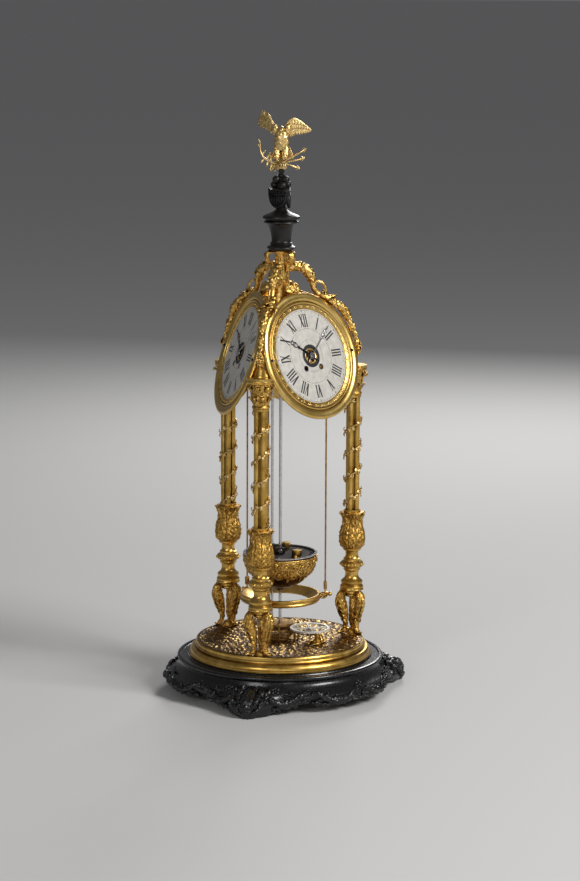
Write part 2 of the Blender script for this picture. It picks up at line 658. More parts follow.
def buildPlinthRelief():
    upwards = garland["upwards"]
    parts = []
    for side in (-1, 1):
        for run, wide in garland["masses"]:
            parts.append(carved(onSkirt(run, side), wide, across=upwards, **garland["casting"]))
        for a, z, proud, size, petals in garland["rosettes"]:
            parts.append(rosette(onFoot(side * a, z, proud), size, petals))
        for a, z, reach, wide in garland["leaves"]:
            spine = [(a, z), (a + 0.9, z + reach * 0.35), (a + 0.6, z + reach * 0.75), (a - 0.6, z + reach)]
            parts.append(carved(onSkirt(spine, side, 1.4), [wide * 0.6, wide, wide * 0.8, 0.4], [1.0, 1.5, 1.2, 0.4],
                                upwards, 2.6, 0.9, 12))
    # cartouche on the foot, its toe and curls, and the drop in the middle of each side
    level = (*polar(1, 60), 0)
    parts += [
        carved(onSkirt([(0, 33.4), (0, 29), (0, 22.5), (0, 15.5), (0, 10.4)], proud=0.2), [5.0, 8.6, 9.2, 7.2, 3.2],
               [2.0, 4.2, 4.8, 4.2, 2.0], level, 4.0, 1.9, 36, 0.8),
        carved(onSkirt([(0, 12.4), (0, 8.4), (0, 4.6), (0, 2.8)], proud=0.4), [5.6, 7.8, 7.4, 4.0],
               [1.8, 2.4, 2.4, 1.8], level, 3.4, 1.4, 30, 0.7),
        rosette(onFoot(60, 28.6, 0.8), 6.4),
        carved(onSkirt([(60, 24), (60, 19.4), (60, 14.6), (60, 11.6)]), [2.4, 3.6, 2.8, 0.8], [1.4, 2.4, 2.0, 0.8],
               (-1, 0, 0), 3.0, 1.2, 18),
    ]
    curl = [(0.8, 31), (3.4, 32.6), (6, 31), (7.2, 27.6), (5.6, 25.6)]
    for side in (-1, 1):
        parts.append(carved(onSkirt(curl, side, 2.4), [1.4, 2.2, 2.4, 2.0, 1.2], None, upwards, 3, 1.2))
    relief = copied(joined(parts), ringOf(3))
    x, low, high = garland["box"]
    for vert in relief.data.vertices:  # keeps its lumps inside the clock's own box
        vert.co.x = min(max(vert.co.x, -x), x)
        vert.co.y = min(max(vert.co.y, low), high)
    settle(relief, "plinth_relief", japannedIron)


buildPlinth()
buildPlinthRelief()
print("plinth cast")

# gilt plate: turned steps round a ground that is chased all over with scrolls
plate = {"low": 119.0, "step": 110.0, "z": 46.0, "top": 65.5, "middle": 9, "border": 108.0, "grid": (620, 104),
         "scroll": 10, "height": 1.3, "lines": [(9, 0.5), (108.0, 0.9), (105.4, 0.4)]}


def buildPlate():
    z, low, step = plate["z"], plate["low"], plate["step"]
    profile = [(0, z + 17), (8, z + 17), (8, z), (low - 1, z), (low, z + 1), (low + 0.2, z + 2.4), (low, z + 3.6),
               (low - 1.5, z + 4.6), (low - 1.7, z + 6.4), (low - 2.6, z + 8.2), (low - 3.6, z + 9.2),
               (low - 4.4, z + 10.1), (step + 0.2, z + 10.5), (step + 0.3, z + 11.4), (step + 1.2, z + 12.2),
               (step + 1.4, z + 13.2), (step + 0.9, z + 14.4), (step - 0.2, z + 15.2), (step - 0.4, z + 16.6),
               (step - 0.2, z + 17.8), (step - 0.9, z + 19.2), (step - 2, z + 19.5), (0, z + 19.5)]
    settle(turned(profile, 192), "base_disc", giltTurned, stands=["base_plate"])
    top, middle, border = plate["top"], plate["middle"], plate["border"]
    ground = gridOf(*plate["grid"])
    for vert in ground.data.vertices:
        a, t = math.pi * vert.co.x, (vert.co.y + 1) / 2
        r = middle + (border - middle) * t ** 0.85
        spot = Vector((r * math.sin(a), -r * math.cos(a), 0))
        height = scrolled(spot, plate["scroll"]) * 0.8 + 0.25 * lobed(spot, 3)
        edge = min(1, (border - 1 - r) / 2) if r < border - 1 else 0
        vert.co = (spot.x, spot.y, top + 0.06 + plate["height"] * height * max(0, edge))
    rows = [ground]
    for r, w in plate["lines"]:
        rows.append(turned([(r - w, top), (r - w * 0.6, top + 0.5), (r + w * 0.6, top + 0.5), (r + w, top)], 144))
    smoothed(welded(ground, outwards=False))
    settle(joined(rows), "base_engraving", plateEngraved)


buildPlate()
print("plate turned")

# console legs under each column: carved scrolls, a volute on each side, a curled toe
leg = {
    "count": 3, "start": 90, "casting": {"size": 3.2, "relief": 1.2, "around": 36, "step": 0.8},
    "path": [(11.6, 0, 2.2), (11, 0, 3.8), (9.6, 0, 6), (8.5, 0, 9.5), (8.4, 0, 15.5), (9.6, 0, 24.5),
             (11.5, 0, 32.5), (13.4, 0, 39.5), (14.6, 0, 46), (13.4, 0, 52.6), (10.4, 0, 57.4)],
    "wide": [3.4, 3.8, 3.2, 3.1, 3.8, 5.2, 6.6, 7.2, 6.8, 6.2, 4.2],
    "deep": [3.8, 4.2, 4.0, 4.2, 4.8, 5.6, 6.2, 6.4, 6.2, 5.8, 4.4],
    "volute": [(-100, 6.2), (-40, 5.4), (20, 4.7), (80, 4.0), (140, 3.3), (200, 2.6), (260, 1.9), (320, 1.1)],
    "volutePlace": (13.0, 5.4, 50.4), "scales": [(17.2, 37), (15.2, 30), (13, 23.4), (11.4, 17)],
    "hub": [(2.4, 50), (8, 50), (9.2, 51.5), (9, 53.5), (10.4, 55), (10.2, 57.4), (9, 58.4), (2.4, 58.4)],
}


def buildLegs():
    parts = [
        carved(leg["path"], leg["wide"], leg["deep"], **leg["casting"]),
        carved([(11.6, 0, 3.6), (13.6, 0, 2.2), (15.8, 0, 1.9), (17.6, 0, 3.2), (17.4, 0, 4.6)],
               [2.6, 2.2, 1.9, 1.5, 0.8], [2.8, 2.4, 1.9, 1.5, 0.8], size=2, relief=0.5, around=14, step=0.7),
    ]
    vx, vy, vz = leg["volutePlace"]
    for side in (-1, 1):
        spiral = [(vx + polar(r, a)[0], side * vy, vz + polar(r, a)[1]) for a, r in leg["volute"]]
        parts.append(swept(smoothLine(spiral, 3), [0.7, 1.1, 1.15, 1.1, 1.0, 0.9, 0.8, 0.9], 2))
        rib = [(16.4, side * 5.2, 44), (15.6, side * 5.8, 38), (13.2, side * 5.7, 31), (10.6, side * 5.0, 23),
               (9.2, side * 4.4, 15), (9.4, side * 3.9, 9)]
        parts.append(swept(smoothLine(rib, 3), [0.5, 0.9, 1.0, 0.9, 0.8, 0.5], 1))
        for x, z in leg["scales"]:
            scale = [(x - 3.6, side * 4.4, z - 4.4), (x - 2, side * 5.6, z - 1.4), (x - 0.2, side * 5.2, z + 1.8),
                     (x + 1, side * 4, z + 4.4)]
            parts.append(carved(scale, [0.6, 1.6, 1.5, 0.4], [0.6, 1.0, 0.9, 0.4], size=1.8, relief=0.5, around=12,
                                step=0.8))
    parts.append(carved([(17.4, 0, 55), (20, 0, 50), (21, 0, 44), (20, 0, 37), (17.6, 0, 29.6), (14.6, 0, 22),
                         (12.6, 0, 16)], [1.6, 2.8, 3.2, 3.0, 2.6, 2.0, 0.8], [0.9, 1.4, 1.5, 1.4, 1.2, 1.0, 0.6],
                        (0, 1, 0), 2.6, 1.0, 20, 0.8))
    legs = copied(joined(parts), ringOf(leg["count"], leg["start"]))
    threefold(joined([legs, turned(leg["hub"], 48)]), "leg_cluster", giltLegs,
              lambda n: atColumn(n, clock["plateTop"]), "column_foot_#")


buildLegs()

# baluster: turned, with leaves chased on the bulb, curled tips at its rim and beads round the knop
tipCasting = {"across": (0, 1, 0), "size": 2, "relief": 0.7, "around": 14, "step": 0.7}
baluster = {
    "foot": [(0, 0), (14.4, 0), (15.4, 0.6), (15.7, 2), (15.2, 3.2), (15.3, 5.4), (14.6, 6.4), (13, 8), (13.4, 8.7),
             (14.2, 10), (14.2, 12.2), (13, 13.6), (11.4, 15), (9.6, 16.8), (8.9, 19.4), (8.7, 22.4), (9.2, 25.6),
             (10.6, 26.8), (11.2, 28), (11, 29.8), (11.4, 30.6), (13.6, 31.6), (14.8, 33), (15.1, 35), (14.8, 37),
             (13.6, 38.4), (11.4, 39.8), (11, 41.4), (11.1, 42.6), (9.6, 43.4), (8.7, 45), (8.4, 48), (8.6, 51.4),
             (9.4, 53), (11.4, 53.8), (12.2, 54.8), (12.2, 56.2), (0, 56.2)],
    "bulb": [(12.4, 56.6), (14.6, 59.5), (15.8, 63.4), (16.2, 69), (15.6, 75), (14.4, 81), (13.0, 87), (12.6, 92),
             (13.4, 97), (15.4, 101), (16.3, 103.4), (15.4, 104.7)],
    "chasing": {"low": 56.4, "high": 104.4, "height": 3.3, "size": 3.0, "leaves": 5, "lobes": 3, "grain": 0.24},
    "tips": 8, "beads": 10, "beadZ": 35,
}


def buildBalusters():
    core = turned([(0, 55.6), (11.8, 55.6)] + eased(baluster["bulb"], 5) + [(12, 105), (0, 105)], 200)
    chase(core, **baluster["chasing"])
    tip = carved([(13.6, 0, 99), (15.6, 0, 101.8), (17, 0, 103.6), (17.2, 0, 102)], [1.6, 3.0, 2.8, 1.2],
                 [0.8, 1.1, 1.0, 0.6], **{**tipCasting, "relief": 0.6})
    count, z = baluster["beads"], baluster["beadZ"]
    large = copied(ball(2.1, (14.4, 0, z), 6), ringOf(count))
    small = copied(ball(1.2, (14.7, 0, z), 5), ringOf(count, 180 / count))
    threefold(joined([turned(baluster["foot"]), large, small]), "baluster_turning", giltTurned,
              lambda n: atColumn(n, clock["balusterZ"]))
    threefold(joined([core, copied(tip, ringOf(baluster["tips"]))]), "baluster_leaves", giltChased,
              lambda n: atColumn(n, clock["balusterZ"]), "column_baluster_#")


buildBalusters()

# vine wound up the bundled tubes: a thick and a thin strand, leaves and bunches of grapes
vine = {"turns": 4.5, "low": 6.0, "high": 147.0, "radius": 10.5, "leaves": 58, "steps": 160, "seed": 5,
        "leafLong": (4.4, 6.2), "lean": 0.6, "grape": 0.95, "bunch": (3, 3, 2, 1), "bunchEvery": 5}


def onVine(t, out=0.0):
    a = math.tau * vine["turns"] * t
    r = vine["radius"] + out
    return Vector((r * math.cos(a), r * math.sin(a), vine["low"] + (vine["high"] - vine["low"]) * t))


def buildVines():
    random.seed(vine["seed"])
    steps, lean = vine["steps"], vine["lean"]
    thick = [onVine(k / steps, 0.35 * math.sin(k * 0.9)) for k in range(steps + 1)]
    thin = [onVine(min(1, k / steps + 0.012 + 0.006 * math.sin(k * 0.33)), 0.1) for k in range(steps - 1)]
    growth = [swept(thick, [1.0, 1.05, 0.9, 1.0, 0.85], 1), swept(thin, [0.6, 0.75, 0.6, 0.7, 0.5], 1)]
    grape = ball(vine["grape"], (0, 0, 0), 4)
    for k in range(vine["leaves"]):
        root = onVine((k + 0.5) / vine["leaves"], 0.4)
        out = Vector((root.x, root.y, 0)).normalized()
        side = Vector((0, 0, 1)).cross(out)
        up = (Vector((0, 0, 1 if k % 2 else -1)) + side * random.uniform(-lean, lean)).normalized()
        if k % vine["bunchEvery"] == 3:
            for row, count in enumerate(vine["bunch"]):
                for g in range(count):
                    spot = (root + out * (0.6 + 0.3 * math.sin(g * 2.4)) - Vector((0, 0, 1.5 + row * 1.5))
                            + side * (g - (count - 1) / 2) * 1.6)
                    growth.append(twin(grape, shift(*spot)))
        else:
            long = random.uniform(*vine["leafLong"])
            spine = [root, root + up * long * 0.35 + out * 0.8, root + up * long * 0.75 + out * 0.3,
                     root + up * long - out * 0.8]
            growth.append(leaf(spine, [0.5, long * 0.46, long * 0.4, 0.4], up.cross(out) * -1, 3, notch=0.5, cup=0.2,
                               sweep=0.35, thick=0.5, columns=4, rows=3))
    bpy.data.objects.remove(grape)
    vines = copied(joined(growth), [atColumn(n, clock["tubeZ"]) for n in thirds])
    settle(vines, "vines", giltPale, stands=["column_vines"])


buildVines()

# capital: bell chased with leaves, two rows of curled leaf tips, beads under the moulded cap
capital = {
    "foot": [(0, 0), (10, 0), (11.2, 0.8), (11.4, 2), (10.6, 3.2)],
    "bell": [(9.8, 4.4), (10.2, 8), (11, 13), (12, 18), (13.4, 23), (14.8, 27.4)],
    "cap": [(15.6, 29.4), (15.4, 30.4), (16.6, 31.4), (17.2, 32.6), (17.4, 34.6), (17.0, 35.9), (0, 35.9)],
    "chasing": {"low": 4.4, "high": 28.2, "height": 2.0, "size": 2.4, "leaves": 8, "lobes": 4, "grain": 0.6,
                "taper": 9},
    "tips": 8, "beads": 20,
}


def buildCapitals():
    body = turned(capital["foot"] + eased(capital["bell"], 6) + capital["cap"], 144)
    chase(body, **capital["chasing"])
    tip = carved([(13.6, 0, 22), (15.2, 0, 25.6), (17.6, 0, 27.6), (18.8, 0, 26.4), (18.2, 0, 24.6)],
                 [1.6, 2.8, 3.0, 2.4, 1.0], [0.9, 1.3, 1.4, 1.2, 0.6], **tipCasting)
    tips = copied(tip, ringOf(capital["tips"]))
    low = carved([(11.6, 0, 9), (13, 0, 12.4), (14.8, 0, 14.4), (15.8, 0, 13.2)], [1.4, 2.4, 2.4, 1.0],
                 [0.8, 1.1, 1.1, 0.6], **{**tipCasting, "relief": 0.6, "around": 12})
    lows = copied(low, ringOf(capital["tips"], 180 / capital["tips"]))
    beads = copied(ball(1.2, (16, 0, 30.3), 5), ringOf(capital["beads"]))
    threefold(joined([body, tips, lows, beads]), "capital", giltLegs,
              lambda n: atColumn(n, clock["capitalZ"]), "column_capital_#")


buildCapitals()
print("columns cast")

# bezels: broad satin moulding, dark groove, bead, chased slope
bezel = {
    "outer": 82.3, "inner": 61.0, "leaves": 36,
    # steps in from the outer edge, and height
    "moulding": [(3, -4.2), (0.4, -3.7), (0, -2.9), (0.1, -2.2), (0.8, -1.3), (2, -0.6), (3.6, -0.14), (5.2, 0),
                 (7, -0.2), (8.8, -0.8), (10.2, -1.7), (11, -2.5), (11.3, -3.0), (11.7, -2.9), (12, -1.9),
                 (12.5, -1.15), (13.3, -0.85), (14.1, -1.15), (14.6, -1.9), (14.8, -2.6), (15.1, -2.7),
                 (15.5, -2.1), (19.6, -2.6), (19.9, -2.85), (20.3, -2.3), (20.9, -2.3)],
}


def buildBezels():
    outer, inner = bezel["outer"], bezel["inner"]
    moulding = [(outer - back, z) for back, z in bezel["moulding"]]
    ring = turned([(inner, -3.3), (65.1, -3.3), (65.1, -4.2)] + moulding + [(inner, -2.8), (inner, -3.3)], 192, 40)
    motif = []
    for side in (-1, 1):
        curl = [(0, 63, -2.35), (side * 1.6, 63.6, -2.3), (side * 2.9, 64.9, -2.15), (side * 2.4, 66, -2),
                (side * 1.2, 65.6, -2.05)]
        motif.append(swept(smoothLine(curl, 3), [0.22, 0.4, 0.42, 0.36, 0.3], 1))
    motif.append(leaf([(0, 62.6, -2.4), (0, 64, -2.1), (0, 65.4, -1.95), (0, 66.6, -1.95)], [0.4, 1.1, 1.1, 0.2],
                      lobes=2, thick=0.2, cup=0.12, columns=4, rows=3))
    foliage = copied(joined(motif), ringOf(bezel["leaves"]))
    threefold(foliage, "bezel_foliage", giltEngraved, atDial)
    threefold(ring, "bezel_ring", giltSatin, atDial, "bezel_#")


buildBezels()

# dial: thin black numerals, minute track and rings a hair above the silvered plate
dial = {
    "front": -3.3, "numeralIn": 38.0, "numeralOut": 54.0, "track": 57.0, "inkThick": 0.08,
    "tickLong": (1.2, 2.2), "tickWide": (0.36, 0.8),  # minutes, five minutes
    "circles": [(35.5, 0.12), (59.4, 0.14), (20.9, 0.1)],  # radius and half width
    # black ring round the opening, the pierced brass ring inside it, and the collars of the key holes
    "collar": [(10.6, -3.6), (10.6, -2.85), (11.2, -2.72), (13.6, -2.72), (14.5, -2.85), (14.9, -3.2),
               (14.9, -3.29), (13.4, -3.29), (13.4, -4.4), (10.6, -4.4), (10.6, -3.6)],
    "brassRing": [(8.0, -4.4), (8.0, -3.7), (8.5, -3.4), (10.1, -3.4), (10.6, -3.7), (10.6, -4.4), (8.0, -4.4)],
    "bridge": [(0, 8.4), (16, 7), (20, 5.6), (8, 5.2)], "bridges": 6,
    "keyCollar": [(3.1, -4.4), (3.5, -4.4), (3.5, -3.28), (3.9, -3.28), (3.9, -3.14), (3.2, -3.14), (3.1, -4.4)],
    "keyPlace": (13.5, -15.4),
}
numerals = ["XII", "I", "II", "III", "IIII", "V", "VI", "VII", "VIII", "IX", "X", "XI"]
letterWidth = {"I": 3.5, "V": 6.2, "X": 6.7}
stroke = {"stem": 1.8, "thick": 2.1, "thin": 0.95, "serif": 0.6, "leanV": 2.1, "leanX": 2.3}


def bar(a, b, width):  # flat bar between two points
    a, b = Vector(a), Vector(b)
    deselect()
    bpy.ops.mesh.primitive_plane_add(size=1)
    turn = Matrix.Rotation(math.atan2(b.y - a.y, b.x - a.x), 4, "Z")
    size = Matrix.Diagonal(((b - a).length, width, 1, 1))
    return moved(bpy.context.object, shift((a.x + b.x) / 2, (a.y + b.y) / 2, 0) @ turn @ size)


def letter(kind, x):  # strokes and serifs of one letter
    low, high = dial["numeralIn"], dial["numeralOut"]
    thick, thin = stroke["thick"], stroke["thin"]
    if kind == "I":
        bars = [bar((x, low), (x, high), stroke["stem"])]
        ends = [(x, low, 1.35), (x, high, 1.35)]
    elif kind == "V":
        lean = stroke["leanV"]
        bars = [bar((x, low), (x - lean, high), thick), bar((x, low), (x + lean, high), thin)]
        ends = [(x - lean, high, 1.2), (x + lean, high, 0.9)]
    else:
        lean = stroke["leanX"]
        bars = [bar((x + lean, low), (x - lean, high), thick), bar((x - lean, low), (x + lean, high), thin)]
        ends = [(x + s * lean, at, 1.0) for s in (-1, 1) for at in (low, high)]
    return bars + [bar((at - half, r), (at + half, r), stroke["serif"]) for at, r, half in ends]


def buildFigures():
    marks = []
    for hour, word in enumerate(numerals):
        x = -sum(letterWidth[c] for c in word) / 2
        for c in word:
            marks += [moved(piece, turnZ(-30 * hour)) for piece in letter(c, x + letterWidth[c] / 2)]
            x += letterWidth[c]
    track = dial["track"]
    for minute in range(60):
        long, wide = dial["tickLong"][minute % 5 == 0], dial["tickWide"][minute % 5 == 0]
        marks.append(moved(bar((0, track), (0, track + long), wide), turnZ(-6 * minute)))
    marks = applied(joined(marks), "SOLIDIFY", thickness=dial["inkThick"], offset=1)
    circles = [turned([(r - w, 0), (r - w, 0.06), (r + w, 0.06), (r + w, 0), (r - w, 0)], 144)
               for r, w in dial["circles"]]
    figures = moved(joined([marks] + circles), shift(0, 0, dial["front"] + 0.01))
    threefold(figures, "dial_figures", inkBlack, atDial)
    threefold(turned(dial["collar"], 72), "opening_collar", inkBlack, atDial)
    rimPlate = turned(dial["brassRing"], 64)
    bridges = []
    for start in range(0, 360, 360 // dial["bridges"]):
        run = [polar(r, start + a) for a, r in dial["bridge"]]
        bridges.append(swept(smoothLine([(x, y, -4) for y, x in run], 3), [0.7, 0.6, 0.5, 0.7], 1))
    threefold(joined([rimPlate] + bridges), "opening_ring", wheelBrass, atDial)
    x, y = dial["keyPlace"]
    keys = copied(turned(dial["keyCollar"], 32), [shift(s * x, y, 0) for s in (-1, 1)])
    threefold(keys, "key_collars", polishedSteel, atDial)


buildFigures()
print("dials lettered")

# hands: pierced knots on a slim tapered blade
hands = {
    "minute": {"knot": 42.0, "hub": 4.2, "bore": 1.5, "z": -0.9, "angle": 48.8, "size": 0.7,
               "half": 0.85, "paint": polishedSteel,
               "tip": [(-1.4, 46.8), (-0.9, 48.2), (-0.18, 55.0), (0.18, 55.0), (0.9, 48.2), (1.4, 46.8)]},
    "hour": {"knot": 32.4, "hub": 5.6, "bore": 3.2, "z": -2.3, "angle": 304.4, "size": 0.85,
             "half": 1.25, "paint": bluedSteel, "tip": [(-1.1, 35.8), (0, 37.0), (1.1, 35.8)]},
}


def buildHand(hand):
    knot, hub, size, half = (hand[key] for key in ("knot", "hub", "size", "half"))
    parts = [
        cutOut([[(-0.8, hub - 1), (-half, hub + 3), (-half * 0.6, knot - 7.6), (half * 0.6, knot - 7.6),
                 (half, hub + 3), (0.8, hub - 1)]], 0.5),
        cutOut([hand["tip"]], 0.5),
        cutOut([circle(hub, steps=48), circle(hand["bore"], steps=32)], 0.6),
    ]
    for s in (-1, 1):
        for run, each, wide in (
                ([(0, -8), (s * 2.4 * size, -6), (s * 3.6 * size, -2.8), (s * 2.6 * size, -0.4), (s * 1.0, -1.6),
                  (s * 1.4, -3.4)], 4, [0.3, 0.42, 0.5, 0.45, 0.35, 0.45]),
                ([(0, -0.6), (s * 2.2 * size, 0.6), (s * 3.0 * size, 2.8), (s * 1.6, 4.4), (0, 5.2)], 4,
                 [0.3, 0.42, 0.45, 0.4, 0.3]),
                ([(0, -11.4), (s * 1.9, -10.2), (s * 1.6, -8.6), (0, -7.8)], 3, [0.3, 0.38, 0.36, 0.3])):
            parts.append(swept(smoothLine([(x, knot + y, 0) for x, y in run], each), wide, 1))
    parts.append(swept(smoothLine([(0, -hub + 0.6, 0), (0, -hub - 3, 0), (0, -hub - 7.4, 0)], 3), [0.7, 1.0, 0.4], 1))
    for part in parts[3:]:
        part.data.transform(Matrix.Diagonal((1, 1, 0.55, 1)))
    return joined(parts)


def buildHands():
    for kind, hand in hands.items():
        threefold(buildHand(hand), f"{kind}_pointer", hand["paint"],
                  lambda n: atDial(n) @ shift(0, 0, hand["z"]) @ turnZ(-hand["angle"]),
                  f"{kind}_hand_#", f"{kind}_#")


buildHands()
print("hands cut")

# small dark screws of the bezels, slotted
bezelScrew = {"head": [(0, 0), (2, 0), (2.05, 0.5), (1.6, 1), (0.35, 1.05), (0, 1.05)], "reach": 72.7, "z": -0.3}


def buildScrews():
    head = turned(bezelScrew["head"], 24)
    slot = moved(applied(bar((-1.7, 0), (1.7, 0), 0.4), "SOLIDIFY", thickness=0.06, offset=1), shift(0, 0, 1.04))
    places = [atDial(n) @ shift(s * bezelScrew["reach"], 0, bezelScrew["z"]) for n in thirds for s in (-1, 1)]
    settle(copied(joined([head, slot]), places), "bezel_screw_heads", bluedSteel, stands=["bezel_screws"])


buildScrews()

# crest: leafy castings up the three corners, with open scroll arms; runs are distance from the axis and height
# over the dials' middle, then the half width and half depth along them
crest = {
    "bold": {"size": 3.2, "relief": 2.1, "around": 28, "step": 0.9},
    "fine": {"size": 2.3, "relief": 0.9, "around": 14, "step": 0.9},
    "masses": [
        # lower scroll up the corner, wide masses and narrow necks
        ("bold", [(101.5, -10), (103, -5), (103.2, 1), (102.4, 8), (100.4, 15), (98, 21), (95.5, 27), (92.6, 34),
                  (90, 40)],
         [1.4, 3.2, 5.4, 3.4, 2.6, 3.4, 4.4, 3.6, 3.2], [1.8, 3.2, 4.8, 3.8, 3.4, 4.0, 4.8, 4.4, 4.2]),
        ("bold", [(91, 37), (88.4, 44), (84, 51), (78.5, 56.4), (72.6, 59.6), (67, 61.4)],
         [3.4, 5.8, 6.6, 6.2, 5.6, 4.0], [3.8, 5.4, 5.8, 5.4, 4.8, 3.8]),
        ("bold", [(72, 60.4), (66, 63.4), (62, 66.6), (57, 69.8), (51, 72)],
         [4.4, 7.0, 8.2, 7.6, 5.0], [3.6, 5.0, 5.6, 5.6, 4.4]),
        # leafy arm that curls over to the stem, and its offshoots
        ("bold", [(42, 85), (40.6, 91), (38.4, 97), (34, 103), (28, 107), (21, 109), (13, 107.6), (7, 103.6)],
         [3.8, 6.0, 7.2, 7.6, 7.4, 6.8, 6.0, 4.2], [4.0, 5.8, 6.6, 7.0, 7.0, 6.6, 5.8, 4.0]),
        ("fine", [(43, 81), (45.4, 86), (44.8, 91.4), (42.6, 96)], [1.6, 2.6, 2.6, 1.2], [1.4, 1.9, 1.9, 1.0]),
        ("fine", [(61, 67), (66, 68.6), (70.4, 69.6), (75, 69.2)], [2.4, 3.6, 3.0, 1.2], [2.0, 2.4, 2.0, 1.0]),
    ],
    "rods": [  # smooth bright scroll below the arm, and the small open arch beside it
        ([(53, 70), (48, 73.6), (44.6, 78), (42.6, 83), (41.4, 88)], [3.2, 3.8, 4.0, 3.9, 3.6], 3),
        ([(43, 88), (49.6, 88.4), (54.6, 86.4), (58.4, 82), (59.6, 76), (58, 69)], [1.8, 1.7, 1.7, 1.7, 1.9, 2.1], 2),
    ],
    "leaves": [(70, 65.4), (57, 75), (41, 99), (27, 112.6)], "leafOut": 3.8,
}


def inPlane(run):
    return [(0, -r, z) for r, z in run]


def buildCorners():
    fine = crest["fine"]
    parts = [carved(inPlane(run), wide, deep, **crest[kind]) for kind, run, wide, deep in crest["masses"]]
    parts += [swept(smoothLine(inPlane(run), 4), wide, facets) for run, wide, facets in crest["rods"]]
    parts.append(rosette(shift(0, -105.4, 3) @ turnX(90), 6.0, 7))
    out = crest["leafOut"]
    for side in (-1, 1):
        for r, z in crest["leaves"]:  # leaves that break the outline on both sides
            blade = [(side * out * 0.5, -r + 1, z - 1), (side * out, -r - 1, z + 0.6),
                     (side * (out + 3), -r - 0.6, z - 0.2), (side * (out + 5), -r + 1, z - 2.4)]
            parts.append(carved(blade, [1.4, 2.4, 2.0, 0.6], [1.0, 1.4, 1.2, 0.5], (0, 0.6, 0.8), **fine))
        # curls that lie on the drums beside the corner
        curl = [(side * 2, -62, 66), (side * 7, -63.4, 64.6), (side * 10.6, -67, 61.6), (side * 10.6, -70.6, 57.4),
                (side * 8, -73, 56)]
        parts.append(carved(curl, [2.2, 3.2, 2.8, 2.2, 1.4], None, (0, 0.7, 0.7), **fine))
    corners = copied(joined(parts), [atCorner(n, clock["dialZ"]) for n in thirds])
    settle(corners, "corner_castings", giltCasting, stands=["crest_corners"])


buildCorners()

# stem of the crest: turned shaft, three carved brackets, and three domed shells between the arms
stem = {
    "foot": 57.2,  # over the dials' middle
    "base": [(0, 0), (11, 0), (11.4, 4), (12, 7), (12, 10), (11, 13), (9.9, 17), (9.0, 21)],
    "shaft": [(8.3, z) for z in range(26, 69, 3)],
    "top": [(9.4, 69.6), (10, 71.3), (9.6, 72.7), (0, 72.7)],
    "shell": (11.6, 5.2, 9.8), "shellRibs": 6.5, "shellPlace": (0, -19, 524.6), "shellLean": -16,
}


def buildStem():
    shaft = turned(stem["base"] + eased(stem["shaft"], 3) + stem["top"])
    shaft.data.transform(shift(0, 0, clock["dialZ"] + stem["foot"]))
    strip = carved([(0, -7.6, 528), (0, -8.4, 537), (0, -8.2, 547), (0, -8.4, 557), (0, -8, 567)],
                   [1.6, 3.6, 4.2, 3.6, 1.8], [1.0, 1.9, 2.1, 1.9, 1.2], size=3, relief=1.2, around=20, step=1.0)
    strip.data.transform(turnZ(-60))
    bracket = carved([(0, -8.6, 571.6), (0, -14.4, 572.2), (0, -19, 569.4), (0, -19.4, 564), (0, -16.6, 559.4),
                      (0, -12.6, 557.4)], [3.0, 5.4, 6.4, 5.8, 4.2, 1.6], [1.8, 2.6, 3.2, 3.2, 2.6, 1.2],
                     size=3, relief=1.3, around=24, step=0.9)
    foot = carved([(0, -9, 546), (0, -10.6, 551), (0, -12.4, 556), (0, -12.6, 560)], [1.2, 2.6, 2.8, 1.6],
                  [1.0, 1.6, 1.8, 1.0], size=2.4, relief=0.9, around=16)
    brackets = copied(joined([bracket, foot, strip]), ringOf(3))
    dome = ball(1, (0, 0, 0), 40)
    wide, deep, high = stem["shell"]
    for vert in dome.data.vertices:  # ribs that fan out from the foot, a scalloped rim
        x, y, z = vert.co
        rib = abs(math.cos(math.atan2(x, z + 0.9) * stem["shellRibs"])) ** 0.5
        rim = 0.94 + 0.16 * rib * math.hypot(x, z)
        grain = 1.5 * lobed(Vector((x * 11, y * 8, z * 11)), 3.0) * (1 if y > 0 else -1)
        vert.co = Vector((x * wide * rim, y * (deep + 2.6 * rib) + grain, z * high * rim))
    knob = carved([(-7, -3, -9), (-3, -5, -10.4), (3, -5, -10.4), (7, -3, -9)], [1.4, 2.6, 2.6, 1.4],
                  across=(0, 0, 1), size=2.4, relief=0.8)
    shell = moved(joined([dome, knob]), shift(*stem["shellPlace"]) @ turnX(stem["shellLean"]))
    settle(joined([shaft, brackets, copied(shell, ringOf(3))]), "stem_casting", giltCasting, stands=["crest_stem"])


buildStem()
print("crest cast")

